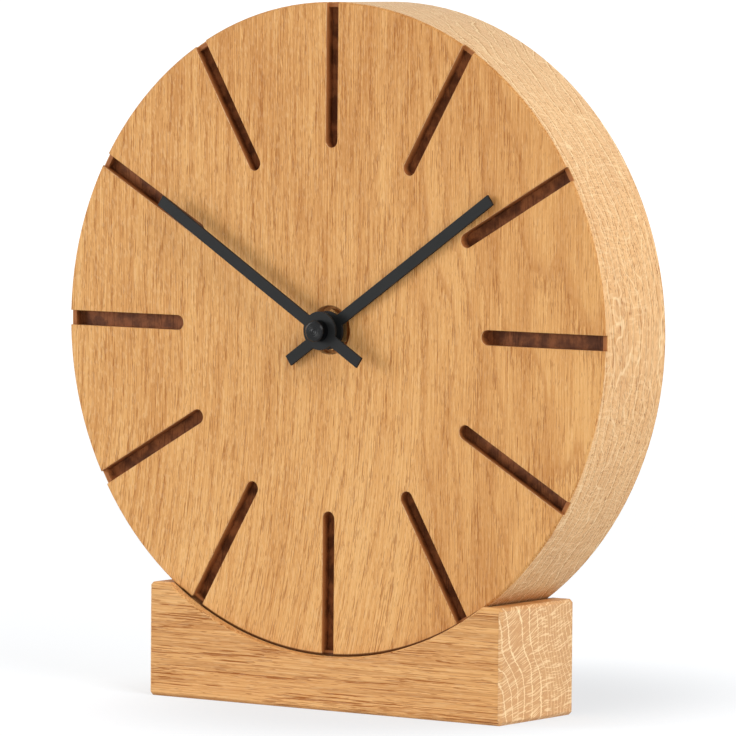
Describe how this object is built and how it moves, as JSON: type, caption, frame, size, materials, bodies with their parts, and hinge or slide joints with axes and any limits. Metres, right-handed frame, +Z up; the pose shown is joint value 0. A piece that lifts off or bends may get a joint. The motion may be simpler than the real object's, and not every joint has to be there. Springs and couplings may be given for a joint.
{
  "type": "desk clock",
  "caption": "Round solid oak desk clock with routed dark hour slots and plain black bar hands, standing in the saddle of a rectangular oak block.",
  "frame": {"origin": "centre of the oak block's underside, on the surface that the clock stands on", "axes": "+Z up, -Y the way the dial faces, +X to the right as seen by someone reading the dial"},
  "size_m": [0.2, 0.0457, 0.2165],
  "materials": {
    "oak_disc": "open-pored oak with a thin clear oil finish",
    "oak_block": "open-pored oak with a thin clear oil finish",
    "screw_steel": "zinc plated",
    "hand_black": "matt black paint on stamped aluminium",
    "cap_black": "gloss black paint on turned brass",
    "nut_brass": "plain brass",
    "washer_rubber": "black rubber",
    "shell_black": "fine textured black plastic",
    "plate_white": "natural acetal",
    "wheel_white": "natural acetal",
    "knob_grey": "satin plastic",
    "cell_metal": "plain printed sleeve and bare metal ends",
    "contact_steel": "nickel plated spring steel",
    "stator_iron": "bright soft iron",
    "bobbin_white": "natural nylon",
    "winding_copper": "enamelled copper wire",
    "board_green": "solder resist",
    "crystal_can": "nickel plated can"
  },
  "bodies": {
    "clock_body": {"clock_case": "oak_disc", "base_block": "oak_block", "base_screws": "screw_steel", "fixing_nut": "nut_brass", "cushion_washer": "washer_rubber", "movement_tray": "shell_black", "movement_cover": "shell_black", "middle_plate": "plate_white", "battery": "cell_metal", "contact_positive": "contact_steel", "contact_negative": "contact_steel", "stator": "stator_iron", "coil_core": "stator_iron", "coil_bobbin": "bobbin_white", "coil_winding": "winding_copper", "circuit_board": "board_green", "quartz_crystal": "crystal_can"},
    "minute_group": {"minute_hand": "hand_black", "hand_cap": "cap_black", "cannon_pinion": "wheel_white"},
    "hour_group": {"hour_hand": "hand_black", "hour_wheel": "wheel_white"},
    "motion_group": {"motion_wheel": "wheel_white"},
    "knob_group": {"setting_knob": "knob_grey"},
    "rotor_group": {"rotor": "wheel_white"},
    "intermediate_group": {"intermediate_wheel": "wheel_white"},
    "seconds_group": {"seconds_wheel": "wheel_white"},
    "third_group": {"third_wheel": "wheel_white"},
    "centre_group": {"centre_wheel": "wheel_white"}
  },
  "joints": [
    {"name": "minute_spin", "type": "hinge", "parent": "clock_body", "child": "minute_group", "pos_m": [0, -0.02, 0.1165], "axis": [0, 1, 0], "continuous": true},
    {"name": "hour_spin", "type": "hinge", "parent": "clock_body", "child": "hour_group", "pos_m": [0, -0.01, 0.1165], "axis": [0, 1, 0], "continuous": true},
    {"name": "motion_spin", "type": "hinge", "parent": "clock_body", "child": "motion_group", "pos_m": [-0.0096, 0, 0.1165], "axis": [0, 1, 0], "continuous": true},
    {"name": "knob_spin", "type": "hinge", "parent": "clock_body", "child": "knob_group", "pos_m": [-0.01577, 0.01, 0.12385], "axis": [0, 1, 0], "continuous": true},
    {"name": "rotor_spin", "type": "hinge", "parent": "clock_body", "child": "rotor_group", "pos_m": [-0.00606, 0.003, 0.1275], "axis": [0, 1, 0], "continuous": true},
    {"name": "intermediate_spin", "type": "hinge", "parent": "clock_body", "child": "intermediate_group", "pos_m": [0, 0.004, 0.124], "axis": [0, 1, 0], "continuous": true},
    {"name": "seconds_spin", "type": "hinge", "parent": "clock_body", "child": "seconds_group", "pos_m": [0, 0.003, 0.1165], "axis": [0, 1, 0], "continuous": true},
    {"name": "third_spin", "type": "hinge", "parent": "clock_body", "child": "third_group", "pos_m": [0.009, 0.001, 0.1165], "axis": [0, 1, 0], "continuous": true},
    {"name": "centre_spin", "type": "hinge", "parent": "clock_body", "child": "centre_group", "pos_m": [0, -0.003, 0.1165], "axis": [0, 1, 0], "continuous": true}
  ],
  "couplings": [
    {"joint": "hour_spin", "follows": "minute_spin", "ratio": 0.083333},
    {"joint": "motion_spin", "follows": "minute_spin", "ratio": -0.33333},
    {"joint": "knob_spin", "follows": "minute_spin", "ratio": 1},
    {"joint": "intermediate_spin", "follows": "rotor_spin", "ratio": -0.16667},
    {"joint": "seconds_spin", "follows": "rotor_spin", "ratio": 0.033333},
    {"joint": "third_spin", "follows": "rotor_spin", "ratio": -0.0041667},
    {"joint": "centre_spin", "follows": "rotor_spin", "ratio": 0.00055556}
  ]
}
